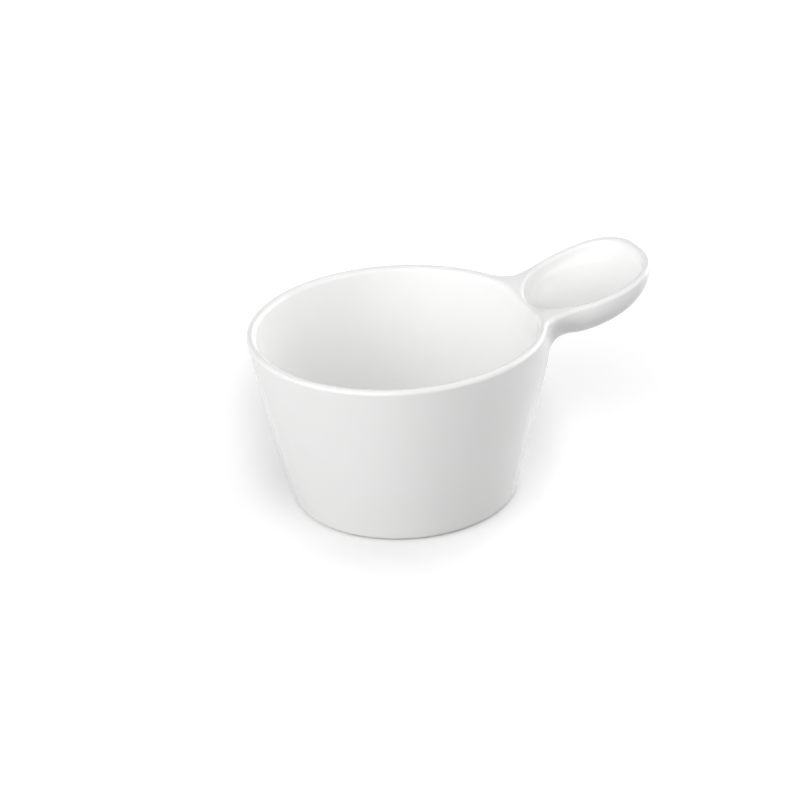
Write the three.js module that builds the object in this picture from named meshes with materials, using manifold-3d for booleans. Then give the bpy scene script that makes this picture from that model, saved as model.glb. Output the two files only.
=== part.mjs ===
// Dessert dish: a round, straight-sided glazed porcelain bowl with a scoop-shaped handle.
// Millimetres, +Z up, handle along +X, the dish standing on z = 0.

import * as THREE from 'three';
import { LoftGeometry } from 'three/addons/geometries/LoftGeometry.js';
import { mergeVertices } from 'three/addons/utils/BufferGeometryUtils.js';
import Module from 'manifold-3d';

const wasm = await Module();
wasm.setup();

// Bowl
const rimRadius = 56;          // outside of the rim
const bowlHeight = 68;         // table to the top of the rim
const footRadius = 42.5;       // outer wall carried down to the table
const wallBulge = 1.0;         // how far the wall bows out of a straight line
const wallThickness = 3.5;
const wallFlare = 0.8;         // extra wall thickness at the foot
const heelRounding = 3;        // outer corner between wall and table
const footRingWidth = 4;
const footRecess = 2;          // hollow under the base, inside the foot ring
const floorThickness = 4.5;
const innerCornerRadius = 16;

// Scoop handle
const scoopTip = 98;           // far end of the scoop's hollow, from the bowl's axis
const scoopHalfWidth = 21.3;   // of the hollow
const scoopEgg = 0.118;        // how much wider the hollow is toward its tip
const scoopFullness = 0.93;    // below 1 the outline is squarer than an ellipse
const scoopWall = 3;
const scoopDepth = 11.5;       // of the hollow, below its own rim
const scoopFloor = 3;
const scoopBelly = 3;          // above 2 the sides stand steeper than an ellipsoid
const scoopLift = 3.3;         // middle of the scoop's rim above the bowl's rim
const scoopRise = 6.5;         // rise of that rim from its middle to its tip
const scoopUpturn = 0.6;       // extra lift at both ends

// Where the two pieces meet
const slipGap = 0.3;           // joint of luting slip between the bowl and the handle
const ridgeThickness = 1.8;    // bowl wall left between the two hollows, at its crest
const ridgeDip = 2.6;          // crest of that wall below the bowl's rim
const ridgeHalfWidth = 13;     // length of the dip, each way from the middle
const collarReach = 12;        // root collar outside the bowl's wall, at its top
const collarToe = 0.4;         // reach of the collar where it fades into the wall
const collarSpread = 34;       // degrees round the bowl, each way from the handle
const collarToeSpread = 26;
const collarDrop = 0.8;        // top of the collar below the bowl's rim
const collarRounding = 1.4;    // of its top edge
const collarLength = 38;       // how far the collar runs down the wall
const collarRootDepth = 6;     // how far its shape is carried into the wall before the cut

// Fineness of the curves
const bowlSegments = 96;
const scoopSegments = 64;

const rimRounding = wallThickness / 2;
const wallTop = bowlHeight - rimRounding;

function outerWall(z) {
  const share = z / wallTop;
  return footRadius + (rimRadius - footRadius) * share + 4 * wallBulge * share * (1 - share);
}

function innerWall(z) {
  return outerWall(z) - wallThickness - wallFlare * (1 - z / wallTop);
}

// The ridge between the hollows fixes where the scoop's hollow starts.
const scoopRoot = innerWall(bowlHeight - ridgeDip) + ridgeThickness;
const scoopCentre = (scoopRoot + scoopTip) / 2;
const scoopHalfLength = (scoopTip - scoopRoot) / 2;
const handleReach = scoopTip + scoopWall;
// The origin is under the middle of the whole dish.
const bowlX = (rimRadius - handleReach) / 2;

function arc(cx, cy, radius, from, to, steps) {
  return Array.from({ length: steps + 1 }, (_, i) => {
    const a = THREE.MathUtils.degToRad(from + (to - from) * i / steps);
    return new THREE.Vector2(cx + radius * Math.cos(a), cy + radius * Math.sin(a));
  });
}

function toManifold(geometry) {
  geometry.deleteAttribute('normal');
  geometry.deleteAttribute('uv');
  const welded = mergeVertices(geometry, 1e-4);
  return new wasm.Manifold(new wasm.Mesh({
    numProp: 3,
    vertProperties: Float32Array.from(welded.attributes.position.array),
    triVerts: Uint32Array.from(welded.index.array),
  }));
}

function toMesh(name, solid, material) {
  const { vertProperties, triVerts } = solid.getMesh();
  const geometry = new THREE.BufferGeometry();
  geometry.setAttribute('position', new THREE.BufferAttribute(vertProperties, 3));
  geometry.setIndex(new THREE.BufferAttribute(triVerts, 1));
  geometry.computeVertexNormals();
  const mesh = new THREE.Mesh(geometry, material);
  mesh.name = name;
  return mesh;
}

// Turns a profile of (radius, height) points about the bowl's own axis.
function revolve(points) {
  const geometry = new THREE.LatheGeometry(points, bowlSegments);
  geometry.rotateX(Math.PI / 2);
  geometry.translate(bowlX, 0, 0);
  return toManifold(geometry);
}

function wallPoints(radiusAt, from, to, steps) {
  return Array.from({ length: steps + 1 }, (_, i) => {
    const z = from + (to - from) * i / steps;
    return new THREE.Vector2(radiusAt(z), z);
  });
}

function bowlProfile() {
  const ringOuter = outerWall(0) - heelRounding;
  const ringInner = ringOuter - footRingWidth;
  const floorZ = footRecess + floorThickness;
  const heelSlope = THREE.MathUtils.radToDeg(Math.atan2(outerWall(heelRounding) - outerWall(0), heelRounding));
  const cornerZ = floorZ + innerCornerRadius;
  const cornerX = innerWall(cornerZ) - innerCornerRadius;
  return [
    new THREE.Vector2(0, footRecess),
    new THREE.Vector2(ringInner - footRecess, footRecess),
    new THREE.Vector2(ringInner, 0),
    ...arc(ringOuter, heelRounding, heelRounding, -90, -heelSlope, 6),
    ...wallPoints(outerWall, heelRounding * 1.6, wallTop, 10),
    ...arc(rimRadius - rimRounding, wallTop, rimRounding, 15, 180, 11),
    ...wallPoints(innerWall, wallTop - 2, cornerZ, 8),
    ...arc(cornerX, cornerZ, innerCornerRadius, -9, -90, 9),
    new THREE.Vector2(0, floorZ),
  ];
}

// Everything inside the outer face of the wall, grown by the slip joint.
function bowlEnvelope() {
  return revolve([
    new THREE.Vector2(0, -5),
    new THREE.Vector2(outerWall(0) + slipGap, -5),
    ...wallPoints((z) => outerWall(z) + slipGap, 0, wallTop, 12),
    new THREE.Vector2(rimRadius + slipGap, bowlHeight + 20),
    new THREE.Vector2(0, bowlHeight + 20),
  ]);
}

// Height of the scoop's rim at a distance along the handle.
function scoopRimZ(along) {
  const share = (along - scoopCentre) / scoopHalfLength;
  return bowlHeight + scoopLift + scoopRise * share + scoopUpturn * share * share;
}

// One closed line around the scoop: the hollow's outline moved out by grow, shrunk by
// scale, and set below (or above) the scoop's rim.
function scoopLine(grow, scale, below) {
  return Array.from({ length: scoopSegments }, (_, i) => {
    const turn = i / scoopSegments * 2 * Math.PI;
    const c = Math.sign(Math.cos(turn)) * Math.abs(Math.cos(turn)) ** scoopFullness;
    const s = Math.sign(Math.sin(turn)) * Math.abs(Math.sin(turn)) ** scoopFullness;
    const along = scoopCentre + (scoopHalfLength + grow) * scale * c;
    const across = (scoopHalfWidth + grow) * scale * s * (1 + scoopEgg * Math.cos(turn));
    return new THREE.Vector3(bowlX + along, across, scoopRimZ(along) - below);
  });
}

// Lines from the lowest point of a hollow or belly up to its edge.
function bellyLines(grow, top, bottom, steps) {
  return Array.from({ length: steps }, (_, i) => {
    const rise = (i + 0.35) / steps * Math.PI / 2;
    const scale = Math.sin(rise) ** (2 / scoopBelly);
    const below = top + (bottom - top) * Math.cos(rise) ** (2 / scoopBelly);
    return scoopLine(grow, scale, below);
  });
}

function loft(lines) {
  return toManifold(new LoftGeometry(lines, { closed: true, capStart: true, capEnd: true }));
}

// The scoop before hollowing: belly and the outer half of its rounded rim.
function scoopBody() {
  const radius = scoopWall / 2;
  const rim = arc(0, 0, radius, 0, 90, 5).map((p) => scoopLine(radius + p.x, 1, radius - p.y));
  return loft([...bellyLines(scoopWall, radius, scoopDepth + scoopFloor, 10), ...rim]);
}

// The hollow as a solid cutter, open upward; its mouth rounds the inner half of the rim.
function scoopHollow() {
  const radius = scoopWall / 2;
  const rim = arc(0, 0, radius, 180, 90, 5).map((p) => {
    return scoopLine(radius + p.x, 1, radius - p.y);
  });
  return loft([
    ...bellyLines(0, radius, scoopDepth, 10),
    ...rim,
    scoopLine(radius + slipGap / 10, 1, -20),
  ]);
}

// One level of the collar: a swelling of the wall, highest under the handle.
function collarLine(z, reach, spread) {
  const wall = outerWall(z);
  const steps = 24;
  const outside = Array.from({ length: steps + 1 }, (_, i) => {
    const share = i / steps * 2 - 1;
    return [share * spread, wall + reach * (0.5 + 0.5 * Math.cos(share * Math.PI))];
  });
  const inside = outside.map(([degrees]) => [degrees, wall - collarRootDepth]).reverse();
  return [...outside, ...inside].map(([degrees, radius]) => {
    const turn = THREE.MathUtils.degToRad(degrees);
    return new THREE.Vector3(bowlX + radius * Math.cos(turn), radius * Math.sin(turn), z);
  });
}

// The collar that carries the handle down the wall and fills the corners beside it.
function rootCollar() {
  const top = bowlHeight - collarDrop;
  const edge = top - collarRounding;
  const growth = (share) => collarToe + (collarReach - collarToe) * share ** 1.6;
  const wall = Array.from({ length: 12 }, (_, i) => {
    const share = i / 11;
    const spread = collarToeSpread + (collarSpread - collarToeSpread) * share;
    return collarLine(edge - (collarLength - collarRounding) * (1 - share), growth(share), spread);
  });
  const rounding = arc(growth(1) - collarRounding, edge, collarRounding, 20, 80, 3);
  return loft([...wall, ...rounding.map((p) => collarLine(p.y, p.x, collarSpread))]);
}

// The crest between the hollows is dressed down by a shallow round saddle.
function ridgeSaddle() {
  const radius = (ridgeHalfWidth ** 2 + ridgeDip ** 2) / (2 * ridgeDip);
  const geometry = new THREE.CylinderGeometry(radius, radius, 4 * wallThickness, 96);
  geometry.rotateZ(Math.PI / 2);
  geometry.translate(bowlX + rimRadius - wallThickness, 0, bowlHeight - ridgeDip + radius);
  return toManifold(geometry);
}

function makeBowl() {
  return revolve(bowlProfile()).subtract(scoopHollow()).subtract(ridgeSaddle());
}

function makeScoopHandle() {
  const whole = scoopBody().add(rootCollar());
  return whole.subtract(scoopHollow()).subtract(bowlEnvelope()).subtract(ridgeSaddle());
}

const glazedPorcelain = () => new THREE.MeshStandardMaterial({
  color: 0xeeece6,
  roughness: 0.12,
  metalness: 0,
});

const dish = new THREE.Group();
dish.name = 'dessert_dish';
dish.add(
  toMesh('bowl', makeBowl(), glazedPorcelain()),
  toMesh('scoop_handle', makeScoopHandle(), glazedPorcelain()),
);

export default dish;
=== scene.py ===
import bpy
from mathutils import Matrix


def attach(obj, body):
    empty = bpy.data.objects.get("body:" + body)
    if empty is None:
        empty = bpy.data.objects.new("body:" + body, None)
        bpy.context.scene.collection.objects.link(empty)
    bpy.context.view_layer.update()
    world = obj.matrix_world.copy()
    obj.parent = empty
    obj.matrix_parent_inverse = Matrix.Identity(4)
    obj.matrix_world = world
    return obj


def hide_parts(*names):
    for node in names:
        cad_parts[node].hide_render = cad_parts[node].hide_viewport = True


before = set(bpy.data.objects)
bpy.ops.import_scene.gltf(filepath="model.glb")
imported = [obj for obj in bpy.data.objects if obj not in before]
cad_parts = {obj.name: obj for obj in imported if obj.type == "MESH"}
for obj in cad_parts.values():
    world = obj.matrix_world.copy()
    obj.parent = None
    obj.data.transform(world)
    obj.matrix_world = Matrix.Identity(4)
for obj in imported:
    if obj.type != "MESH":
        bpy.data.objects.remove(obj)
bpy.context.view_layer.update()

from math import cos, pi, radians, sin

import bmesh
import bpy
import numpy as np
from mathutils import Matrix, Vector

# The bowl is one porcelain casting: a flared wall that ends in a half-round rim, a floor with a
# wide inner corner, and a foot ring round a recessed base. It is turned here as a solid of
# revolution, as the real one is in its plaster mould.
bowl_axis = -0.0225                # x of the bowl's axis in the dish
rim_radius = 0.05598
bowl_height = 0.068
foot_radius = 0.0425               # the wall carried down to the table
wall_bulge = 0.0007
wall_thickness = 0.0035
foot_thickening = 0.0008           # extra thickness of the wall at the table
rim_rounding = wall_thickness / 2
wall_top = bowl_height - rim_rounding
wall_slope = 0.98                  # cosine of the wall's lean
heel_rounding = 0.0017
foot_ring_inside = 0.0355
foot_recess = 0.002
recess_corner = 0.001              # rounding where the recess's side meets the base
foot_ring_edge = 0.0006            # rounding of the ring's inner edge
floor_height = 0.0065
inner_corner = 0.016
corner_top = 0.022                 # height where the wall's inside goes over into the corner
corner_middle = (0.004, 0.0115)    # a point of the rough corner: in from the wall, and height
corner_foot = 0.014                # where it meets the floor, in from the wall
turning_steps = 96
wall_steps = 12


def wall_radius(z):
    share = z / wall_top
    return foot_radius + (rim_radius - foot_radius) * share + 4 * wall_bulge * share * (1 - share)


def inside_radius(z):
    return wall_radius(z) - wall_thickness - foot_thickening * (1 - z / wall_top)


def finished(name, mesh):
    """The mesh as an object of the scene."""
    data = bpy.data.meshes.new(name)
    mesh.to_mesh(data)
    mesh.free()
    made = bpy.data.objects.new(name, data)
    bpy.context.scene.collection.objects.link(made)
    return made


def turned(name, profile):
    """A closed solid turned about the bowl's axis from (radius, height) points."""
    mesh = bmesh.new()
    points = [mesh.verts.new((bowl_axis + radius, 0, z)) for radius, z in profile]
    for here, there in zip(points, points[1:]):
        mesh.edges.new((here, there))
    bmesh.ops.spin(
        mesh, geom=mesh.verts[:] + mesh.edges[:], cent=(bowl_axis, 0, 0), axis=(0, 0, 1),
        angle=2 * pi, steps=turning_steps, use_merge=True,
    )
    bmesh.ops.remove_doubles(mesh, verts=mesh.verts[:], dist=1e-6)
    bmesh.ops.recalc_face_normals(mesh, faces=mesh.faces[:])
    return finished(name, mesh)


def wall_run(radius_at, start, end, steps):
    """Profile points along a wall, from one height to another."""
    heights = np.linspace(start, end, steps)
    return [(radius_at(z), z) for z in heights]


bowl_casting = turned("bowl_casting", [
    (0, foot_recess), (foot_ring_inside - foot_recess, foot_recess), (foot_ring_inside, 0),
    (foot_radius - heel_rounding, 0), *wall_run(wall_radius, heel_rounding, wall_top, wall_steps),
    (rim_radius - rim_rounding, bowl_height),
    *wall_run(inside_radius, wall_top, corner_top, wall_steps),
    (inside_radius(corner_top) - corner_middle[0], corner_middle[1]),
    (inside_radius(corner_top) - corner_foot, floor_height), (0, floor_height),
])

# The handle is a second casting: a shallow scoop, a little wider toward its tip, whose rim leaves
# the bowl just below the bowl's own rim and rises to the tip. Its belly is a steep-sided half egg,
# and its hollow is the same egg one wall smaller.
scoop_root = 0.0545                # start of the hollow, from the bowl's axis
scoop_tip = 0.098
scoop_centre = (scoop_root + scoop_tip) / 2
scoop_half_length = (scoop_tip - scoop_root) / 2
scoop_half_width = 0.02095
scoop_egg = 0.056                  # how much wider it is toward its tip
scoop_egg_middle = 0.2             # share of its plan within which that widening fades out
scoop_squareness = 2.35            # 2 is an ellipse in plan
hollow_steepness = 2.17            # 2 is an ellipse in section
belly_steepness = 2.17
scoop_wall = 0.003
scoop_rounding = scoop_wall / 2
scoop_lift = 0.00396               # rim at the scoop's middle, above the bowl's rim
scoop_rise = 0.0055                # and its rise from there to the tip
scoop_upturn = 0.0009              # extra lift at both ends
hollow_depth = 0.0125
belly_depth = 0.0178
belly_crown = 0.0005               # how far the rough belly stands over its rim
hollow_crown = 0.02                # and the rough hollow, so that it is open upward
hollow_inset = 0.0005              # the hollow is cut a little small before it is settled


def scoop_rim(along):
    share = (along - scoop_centre) / scoop_half_length
    return bowl_height + scoop_lift + scoop_rise * share + scoop_upturn * share ** 2


def egg(name, grow, depth, above, steepness):
    """A half egg hung from the scoop's rim; above is how far it stands over the rim."""
    mesh = bmesh.new()
    bmesh.ops.create_uvsphere(mesh, u_segments=64, v_segments=40, radius=1)
    fullness = 2 / steepness
    for vert in mesh.verts:
        ring = max(vert.co.xy.length, 1e-9)
        x, y = vert.co.xy * ring ** (fullness - 1)
        along = scoop_centre + (scoop_half_length + grow) * x
        across = (scoop_half_width + grow) * y * (1 + scoop_egg * x)
        reach = above if vert.co.z > 0 else -depth
        vert.co = (bowl_axis + along, across, scoop_rim(along) + reach * abs(vert.co.z) ** fullness)
    return finished(name, mesh)


belly = egg("handle_belly", scoop_wall, belly_depth, belly_crown, belly_steepness)
hollow = egg("handle_hollow", -hollow_inset, hollow_depth, hollow_crown, hollow_steepness)

# The handle is stuck to the wall with liquid clay, and the joint is wiped into wide fillets with a
# wet sponge. Firing and glaze then leave one smooth skin over both castings. The joined castings
# are remeshed, and every point is settled onto the skin that the rounded forms below describe.
fillet = 0.0086                    # between the wall and the belly
web_fillet = 0.0145                # and between the two rims, in the web on each side
web_bottom = 0.056
web_rise = 0.01
swell = 0.0046                     # of the wall under the handle
swell_spread = 43.4                # degrees round the bowl
swell_bottom = 0.008
swell_middle = 0.052
swell_top = 0.068
ridge_dip = 0.0030                 # crest between the two hollows, below the bowl's rim
ridge_spread = 13.0                # degrees round the bowl
ridge_flatness = 3                 # 2 is a bell curve; more is flatter in the middle
ridge_width = 0.008
ridge_softness = 0.0012
climb_softness = 0.0006            # where the scoop's rim climbs away from the bowl's
roll_bottom = 0.014
roll_top = 0.0664
roll_shoulder = 0.054              # height where the roll turns out under the handle
roll_shoulder_rise = 0.003
roll_reach = 0.0675
roll_sunk = 0.001                  # how far the roll is pressed into the wall
roll_turn = radians(22)            # round the bowl, each way from the handle
roll_turning_steps = 16
roll_steps = 6
coarse_mesh_size = 0.0016
coarse_rounds = 30
skin_mesh_size = 0.0009
skin_rounds = 16
last_rounds = 4                    # settled without evening
sponge_share = 0.6                 # of the way to the neighbours' middle in one round
slope_step = 2e-6
flattest_slope = 0.2               # squared; keeps a step finite where forms meet
longest_step = 0.0004


def round_max(a, b, radius):
    """Inside both forms, with the edge where they meet rounded."""
    beyond = np.hypot(np.maximum(a + radius, 0), np.maximum(b + radius, 0))
    return np.minimum(np.maximum(a, b), -radius) + beyond


def round_min(a, b, radius):
    """Inside either form, with a fillet where they meet."""
    return -round_max(-a, -b, radius)


def ease(share):
    share = np.clip(share, 0, 1)
    return share * share * (3 - 2 * share)


def swell_share(z):
    """Share of the wall's swell at one height."""
    rise = ease((z - swell_bottom) / (swell_middle - swell_bottom))
    return rise * ease((swell_top - z) / (swell_top - swell_middle))


def egg_distance(along, across, z, grow, depth, steepness):
    """Roughly the distance outside a half egg that is open upward."""
    x = (along - scoop_centre) / (scoop_half_length + grow)
    y = across / (scoop_half_width + grow)
    y = y / (1 + scoop_egg * x / np.maximum(np.hypot(x, y), scoop_egg_middle))
    p, q = scoop_squareness, steepness
    plan = (np.abs(x) ** p + np.abs(y) ** p) ** (1 / p) + 1e-6
    reach = depth - scoop_rounding
    drop = np.maximum(scoop_rim(along) - scoop_rounding - z, 0) / reach
    form = (plan ** q + drop ** q) ** (1 / q)
    plan_slope = np.hypot(
        (np.abs(x) / plan) ** (p - 1) / (scoop_half_length + grow),
        (np.abs(y) / plan) ** (p - 1) / (scoop_half_width + grow),
    )
    slope = np.hypot((plan / form) ** (q - 1) * plan_slope, (drop / form) ** (q - 1) / reach)
    return (form - 1) / slope


def skin(points):
    """Signed distance to the glazed skin, negative in the clay."""
    along = points[:, 0] - bowl_axis
    across = points[:, 1]
    z = points[:, 2]
    radius = np.hypot(along, across)
    degrees = np.degrees(np.arctan2(across, along))

    # The bowl, swollen under the handle and recessed under its base, and the scoop.
    beside = 0.5 + 0.5 * np.cos(np.clip(degrees / swell_spread, -1, 1) * pi)
    wall = (radius - wall_radius(z) - swell * beside * swell_share(z)) * wall_slope
    bowl_form = round_max(wall, -z, heel_rounding)
    recess = round_max(radius - foot_ring_inside, z - foot_recess, recess_corner)
    bowl_form = round_max(bowl_form, -recess, foot_ring_edge)
    bowl_air = round_max((radius - inside_radius(z)) * wall_slope, floor_height - z, inner_corner)
    scoop_form = egg_distance(along, across, z, scoop_wall, belly_depth, belly_steepness)
    scoop_air = egg_distance(along, across, z, 0, hollow_depth, hollow_steepness)

    # Both joined by the fillet, which grows into the webs at the rim, and both hollows as one.
    web = ease((z - web_bottom) / web_rise)
    form = round_min(bowl_form, scoop_form, fillet + (web_fillet - fillet) * web)
    gap = scoop_air - bowl_air
    mixed = np.clip(0.5 + 0.5 * gap / ridge_softness, 0, 1)
    air = scoop_air + (bowl_air - scoop_air) * mixed - ridge_softness * mixed * (1 - mixed)

    # The top of the rim: level round the bowl, dipped between the hollows, rising on the scoop.
    outward = ease((along - (rim_radius - rim_rounding)) / ridge_width)
    dip = ridge_dip * np.exp(-np.abs(degrees / ridge_spread) ** ridge_flatness)
    climb = scoop_rim(along) - bowl_height
    climb = 0.5 * (climb + np.hypot(climb, climb_softness))
    top = bowl_height + outward * climb - (1 - outward) * dip
    rounding = rim_rounding + (scoop_rounding - rim_rounding) * outward
    return round_max(np.maximum(form, -air), z - top, rounding)


def skin_slope(points, value):
    return np.stack([(skin(points + slope_step * axis) - value) / slope_step for axis in np.eye(3)], 1)


def settle(points, rounds):
    """Moves points straight onto the skin."""
    for _ in range(rounds):
        value = skin(points)
        slope = skin_slope(points, value)
        move = value / np.maximum((slope ** 2).sum(1), flattest_slope)
        points = points - np.clip(move, -longest_step, longest_step)[:, None] * slope
    return points


def spread(points, edges, share):
    """Draws each point toward the middle of its neighbours, as a sponge evens wet clay."""
    ends = np.concatenate([edges, edges[:, ::-1]])
    count = np.bincount(ends[:, 0], minlength=len(points))[:, None]
    total = np.stack([np.bincount(ends[:, 0], points[ends[:, 1], k], len(points)) for k in range(3)], 1)
    return points + share * (total / count - points)


def applied(name, source):
    """The source with its modifiers made real, as a new object; the source goes."""
    evaluated = source.evaluated_get(bpy.context.evaluated_depsgraph_get())
    data = bpy.data.meshes.new_from_object(evaluated)
    data.name = name
    bpy.data.objects.remove(source)
    made = bpy.data.objects.new(name, data)
    bpy.context.scene.collection.objects.link(made)
    return made


def boolean(piece, operation, tool):
    step = piece.modifiers.new(operation, "BOOLEAN")
    step.operation = operation
    step.solver = "EXACT"
    step.object = tool


def roll_face(z):
    """Outer face of the roll where it lies along the swollen wall."""
    return wall_radius(z) - roll_sunk + swell * swell_share(z)


def roll_back(z):
    return wall_radius(z) - roll_sunk


def luting_roll():
    """The roll of soft clay pressed into the corner between the wall and the handle."""
    mesh = bmesh.new()
    section = [
        *wall_run(roll_face, roll_bottom, roll_shoulder, roll_steps),
        (roll_reach, roll_shoulder + roll_shoulder_rise), (roll_reach, roll_top),
        *wall_run(roll_back, roll_top, roll_bottom, roll_steps)[:-1],
    ]
    mesh.faces.new([mesh.verts.new((bowl_axis + radius, 0, z)) for radius, z in section])
    middle = (bowl_axis, 0, 0)
    bmesh.ops.rotate(mesh, verts=mesh.verts[:], cent=middle, matrix=Matrix.Rotation(-roll_turn, 3, "Z"))
    bmesh.ops.spin(
        mesh, geom=mesh.faces[:], cent=middle, axis=(0, 0, 1), angle=2 * roll_turn,
        steps=roll_turning_steps,
    )
    bmesh.ops.recalc_face_normals(mesh, faces=mesh.faces[:])
    return finished("luting_roll", mesh)


roll = luting_roll()
boolean(bowl_casting, "UNION", roll)
boolean(bowl_casting, "UNION", belly)
boolean(bowl_casting, "DIFFERENCE", hollow)
dish = applied("dish", bowl_casting)
for tool in (roll, belly, hollow):
    bpy.data.objects.remove(tool)


def coordinates(data):
    flat = np.empty(len(data.vertices) * 3)
    data.vertices.foreach_get("co", flat)
    return flat.reshape(-1, 3)


def sponged(piece, mesh_size, rounds):
    """The piece remeshed evenly, with its points evened and settled onto the skin."""
    remesh = piece.modifiers.new("sponge", "REMESH")
    remesh.mode = "VOXEL"
    remesh.voxel_size = mesh_size
    made = applied(piece.name, piece)
    edges = np.empty(len(made.data.edges) * 2, int)
    made.data.edges.foreach_get("vertices", edges)
    edges = edges.reshape(-1, 2)
    points = coordinates(made.data)
    for _ in range(rounds):
        points = settle(spread(points, edges, sponge_share), 1)
    points = settle(points, last_rounds)
    made.data.vertices.foreach_set("co", points.ravel())
    made.data.update()
    return made


dish = sponged(dish, coarse_mesh_size, coarse_rounds)
dish = sponged(dish, skin_mesh_size, skin_rounds)

# The skin is parted along the luted joint, just outside the bowl's wall, so that the bowl and the
# handle stay the two pieces that they are made as. Each keeps the whole skin's own normals, and
# the joint doesn't show, as it doesn't under real glaze.
joint_skin = 0.0003
joint_start = -0.01                # the parting tool reaches from below the table
joint_end = bowl_height + 0.02     # to above the rim
joint_steps = 14
off_skin = 2e-5                    # a point farther from the skin lies in the joint's own face


def joint_radius(z):
    return wall_radius(z) + joint_skin


joint = turned("joint", [
    (0, joint_start), (joint_radius(joint_start), joint_start),
    *wall_run(joint_radius, 0, wall_top, joint_steps),
    (rim_radius + joint_skin, joint_end), (0, joint_end),
])


def clear_folds(data):
    """Cut into triangles, and without the slivers that lie back to back on the same three corners."""
    mesh = bmesh.new()
    mesh.from_mesh(data)
    bmesh.ops.triangulate(mesh, faces=mesh.faces[:], quad_method="FIXED", ngon_method="EAR_CLIP")
    sharing = {}
    for face in mesh.faces:
        corners = frozenset(vertex.index for vertex in face.verts)
        sharing.setdefault(corners, []).append(face)
    folds = [face for faces in sharing.values() if len(faces) > 1 for face in faces]
    bmesh.ops.delete(mesh, geom=folds, context="FACES")
    mesh.to_mesh(data)
    mesh.free()


def parted(name, operation):
    piece = dish.copy()
    piece.data = dish.data.copy()
    bpy.context.scene.collection.objects.link(piece)
    boolean(piece, operation, joint)
    made = applied(name, piece)
    clear_folds(made.data)
    at = coordinates(made.data)
    value = skin(at)
    normals = skin_slope(at, value)
    normals /= np.maximum(np.linalg.norm(normals, axis=1), 1e-9)[:, None]
    normals[np.abs(value) > off_skin] = 0
    made.data.shade_smooth()
    made.data.normals_split_custom_set_from_vertices(normals.tolist())
    return made


bowl = parted("bowl_glazed", "INTERSECT")
handle = parted("scoop_handle_glazed", "DIFFERENCE")
bpy.data.objects.remove(dish)
bpy.data.objects.remove(joint)

for piece, node, slot in (
    (bowl, "bowl", "glazed_porcelain"),
    (handle, "scoop_handle", "glazed_porcelain_handle"),
):
    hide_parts(node)
    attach(piece, "root")

# A clear, glossy glaze over white porcelain. Its white drifts a little, and its surface rolls very
# slightly, as a dipped glaze's does. The foot ring is wiped clean before firing, so that the dish
# doesn't stick to the kiln shelf, and stays bare, matt and warmer porcelain.
glaze_whites = (0.936, 0.935, 0.929, 1), (0.950, 0.950, 0.947, 1)
bare_whites = (0.74, 0.70, 0.63, 1), (0.82, 0.79, 0.73, 1)
bare_roughness = 0.75
glaze_roughness = 0.14
shine_drift = 0.04                 # added to the roughness, here and there
glaze_refraction = 1.52            # its index
drift_scale = 28                   # of the white's drift; the noises' scales are per metre
shine_scale = 60
rolling_scale = 70                 # of the slow waves in the glaze
rolling_depth = 0.0001
rolling_strength = 0.5
grain_scale = 2600                 # of the bare porcelain's fine grain
grain_depth = 0.00006
grain_strength = 0.4
speckle_scale = 900                # of its colour
wiped_low = 0.00055                # bare below this height
wiped_high = 0.0009                # glazed above this one
wiped_scale = 450                  # of the wiped line's waver
wiped_waver = 0.0003


class Value:
    """A shader socket that takes part in sums: each operation adds its Math node."""

    def __init__(self, finish, socket):
        self.finish = finish
        self.socket = socket

    def math(self, operation, first, second):
        values = {0: first, 1: second}
        return self.finish.node("ShaderNodeMath", {"operation": operation}, values)("Value")

    def __add__(self, other):
        return self.math("ADD", self, other)

    def __sub__(self, other):
        return self.math("SUBTRACT", self, other)

    def __rsub__(self, other):
        return self.math("SUBTRACT", other, self)

    def __mul__(self, other):
        return self.math("MULTIPLY", self, other)

    __radd__ = __add__
    __rmul__ = __mul__

    def between(self, low, high):
        """0 at low, 1 at high, eased and clamped."""
        settings = {"interpolation_type": "SMOOTHSTEP"}
        sockets = {"Value": self, "From Min": low, "From Max": high}
        return self.finish.node("ShaderNodeMapRange", settings, sockets)("Result")


class Finish:
    """The nodes of a material or of the room; node() adds one and returns a way to its outputs."""

    def __init__(self, owner):
        self.owner = owner
        self.owner.use_nodes = True
        self.tree = owner.node_tree
        self.tree.nodes.clear()

    def node(self, kind, settings=None, sockets=None):
        made = self.tree.nodes.new(kind)
        for name, value in (settings or {}).items():
            setattr(made, name, value)
        for name, value in (sockets or {}).items():
            if isinstance(value, Value):
                self.tree.links.new(value.socket, made.inputs[name])
            else:
                made.inputs[name].default_value = value
        return lambda output: Value(self, made.outputs[output])

    def noise(self, at, scale, detail):
        sockets = {"Vector": at, "Scale": scale, "Detail": detail}
        return self.node("ShaderNodeTexNoise", sockets=sockets)("Fac")

    def mix(self, factor, a, b):
        sockets = {"Factor": factor, "A": a, "B": b}
        return self.node("ShaderNodeMix", {"data_type": "RGBA"}, sockets)("Result")

    def surface(self, shader, output="ShaderNodeOutputMaterial"):
        self.node(output, sockets={"Surface": shader})
        return self.owner


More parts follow.
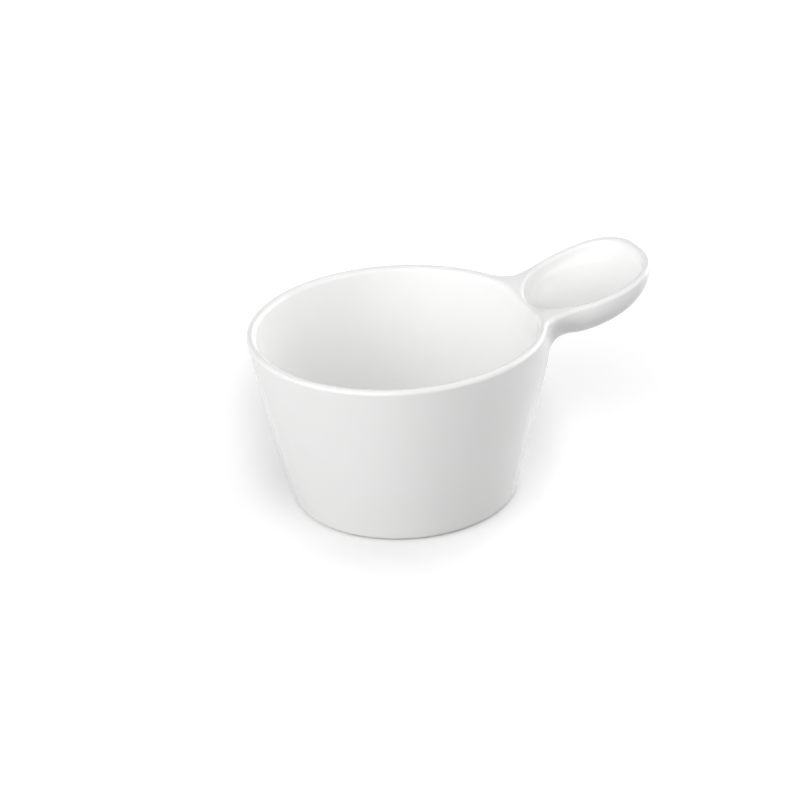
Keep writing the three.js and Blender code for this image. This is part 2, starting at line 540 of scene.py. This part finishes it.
def glaze():
    finish = Finish(bpy.data.materials.new("white_glaze"))
    at = finish.node("ShaderNodeTexCoord")("Object")
    z = finish.node("ShaderNodeSeparateXYZ", sockets={"Vector": at})("Z")
    wiped_line = z + (finish.noise(at, wiped_scale, 2) - 0.5) * wiped_waver
    glazed = wiped_line.between(wiped_low, wiped_high)
    colour = finish.mix(finish.noise(at, drift_scale, 3).between(0.3, 0.7), *glaze_whites)
    biscuit = finish.mix(finish.noise(at, speckle_scale, 4).between(0.35, 0.65), *bare_whites)
    shine = finish.noise(at, shine_scale, 3).between(0.25, 0.75)
    rolling = finish.node("ShaderNodeBump", sockets={
        "Strength": rolling_strength, "Distance": rolling_depth,
        "Height": finish.noise(at, rolling_scale, 2) * glazed,
    })("Normal")
    grain = finish.node("ShaderNodeBump", sockets={
        "Strength": grain_strength, "Distance": grain_depth,
        "Height": finish.noise(at, grain_scale, 3) * (1 - glazed), "Normal": rolling,
    })("Normal")
    shader = finish.node("ShaderNodeBsdfPrincipled", sockets={
        "Base Color": finish.mix(glazed, biscuit, colour),
        "Roughness": bare_roughness - glazed * (bare_roughness - glaze_roughness) + shine * shine_drift,
        "IOR": glaze_refraction,
        "Normal": grain,
    })("BSDF")
    return finish.surface(shader)


white_glaze = glaze()
for piece in (bowl, handle):
    piece.data.materials.clear()
    piece.data.materials.append(white_glaze)

# A pale studio table. Light bounces off it as off a light grey, while the camera and the glaze see
# it as white. Its added glow is weaker in a long, soft ellipse under and behind the dish: a painted
# pool of pale shade, which goes over into plain white away from it. The dish's own soft shadow,
# cast by the lamps, falls on both.
table_half_size = 4
table_grey = (0.35, 0.35, 0.35, 1)
table_white = (0.73, 0.73, 0.73, 1)
# Where and how large the painted pool of shade is.
pool_middle = (-0.0065, 0.05, 0)
pool_size = (0.150, 0.073, 1)      # from its middle to its edge, along and across
pool_turn = radians(75)
pool_start = 0.62                  # share of its size at which the pool begins to fade
pool_end = 6                       # and times its size at which the table is plain white
near_lift = 0.2                    # light that the table adds in the pool
open_lift = 0.25                   # more of it past the pool's edge
far_lift = 0.6                     # and more again out at its end


def studio_table():
    mesh = bmesh.new()
    bmesh.ops.create_grid(mesh, x_segments=1, y_segments=1, size=table_half_size)
    table = finished("table", mesh)
    finish = Finish(bpy.data.materials.new("studio_white"))
    rays = finish.node("ShaderNodeLightPath")
    seen = rays("Is Camera Ray") + rays("Is Glossy Ray") + rays("Is Transmission Ray")
    pool = finish.node("ShaderNodeMapping", {"vector_type": "TEXTURE"}, {
        "Vector": finish.node("ShaderNodeTexCoord")("Object"),
        "Location": pool_middle, "Rotation": (0, 0, pool_turn), "Scale": pool_size,
    })("Vector")
    away = finish.node("ShaderNodeVectorMath", {"operation": "LENGTH"}, {0: pool})("Value")
    # Painted shade: the table's glow is lower in the pool near the dish than out in the open.
    lift = near_lift + away.between(pool_start, 1) * open_lift + away.between(1, pool_end) * far_lift
    diffuse = finish.node("ShaderNodeBsdfDiffuse", sockets={
        "Color": finish.mix(seen, table_grey, table_white),
    })("BSDF")
    glow = finish.node("ShaderNodeEmission", sockets={
        "Color": (1, 1, 1, 1), "Strength": seen * lift,
    })("Emission")
    both = finish.node("ShaderNodeAddShader", sockets={0: diffuse, 1: glow})("Shader")
    table.data.materials.append(finish.surface(both))


studio_table()

# Plain white softboxes, all aimed at the middle of the dish. The key stands high on the left, with
# a small one far left and a low strip under it for the outer wall. A broad one on the right lights
# the handle's root, one above it reaches into the bowl, and two weaker ones fill from the front.
dish_middle = (0, 0, 0.04)


def softbox(name, place, size, watts):
    light = bpy.data.lights.new(name, "AREA")
    light.shape = "RECTANGLE"
    light.size, light.size_y = size
    light.energy = watts
    made = bpy.data.objects.new(name, light)
    made.location = place
    made.rotation_euler = (Vector(dish_middle) - Vector(place)).to_track_quat("-Z", "Y").to_euler()
    bpy.context.scene.collection.objects.link(made)


softbox("key_softbox", (-1.21, -0.56, 0.80), (1.9, 1.1), 17.4)
softbox("left_softbox", (-1.45, 0.2, 0.3), (0.8, 0.5), 0.8)
softbox("low_left_softbox", (-1.25, -0.5, 0.15), (0.9, 0.2), 2.1)
softbox("right_softbox", (1.35, 0.5, 0.43), (2.2, 0.76), 18.5)
softbox("top_softbox", (0.85, 0.15, 1.15), (1.2, 1.0), 3.4)
softbox("front_softbox", (-0.3, -1.0, 1.1), (0.9, 0.8), 2.4)
softbox("fill_softbox", (0.8, -1.2, 0.7), (1.2, 0.9), 5.6)

# The room round the table is pale too. It fills the shadows at a low level, and the camera and
# the glaze see it as white.
room_level = 0.12


def studio_room():
    finish = Finish(bpy.data.worlds.new("studio"))
    rays = finish.node("ShaderNodeLightPath")
    seen = rays("Is Camera Ray") + rays("Is Glossy Ray") + rays("Is Transmission Ray")
    walls = finish.node("ShaderNodeBackground", sockets={
        "Color": (1, 1, 1, 1), "Strength": room_level + seen * (1 - room_level),
    })("Background")
    bpy.context.scene.world = finish.surface(walls, "ShaderNodeOutputWorld")


studio_room()

# The photograph looks 27 degrees down on the dish from its left front, with the handle to the
# right and away, and with the camera tipped 3 degrees.
photo_turn = radians(-21)
photo_down = radians(26.716)
photo_tip = radians(3.103)
photo_distance = 0.9               # from the middle of the rim
photo_right = 0.00101              # of that middle, in the camera's own plane
photo_up = -0.02805

back = Vector((sin(photo_turn) * cos(photo_down), -cos(photo_turn) * cos(photo_down), sin(photo_down)))
level = Vector((cos(photo_turn), sin(photo_turn), 0))
upright = back.cross(level)
right = cos(photo_tip) * level - sin(photo_tip) * upright
up = sin(photo_tip) * level + cos(photo_tip) * upright
rim_centre = Vector((bowl_axis, 0, bowl_height))

camera = bpy.data.objects.new("camera", bpy.data.cameras.new("camera"))
camera.data.lens = 109.26
camera.data.sensor_width = 36
camera.matrix_world = Matrix((right, up, back)).transposed().to_4x4()
camera.location = rim_centre + photo_right * right + photo_up * up + photo_distance * back
bpy.context.scene.collection.objects.link(camera)
bpy.context.scene.camera = camera
bpy.context.scene.view_settings.view_transform = "Standard"
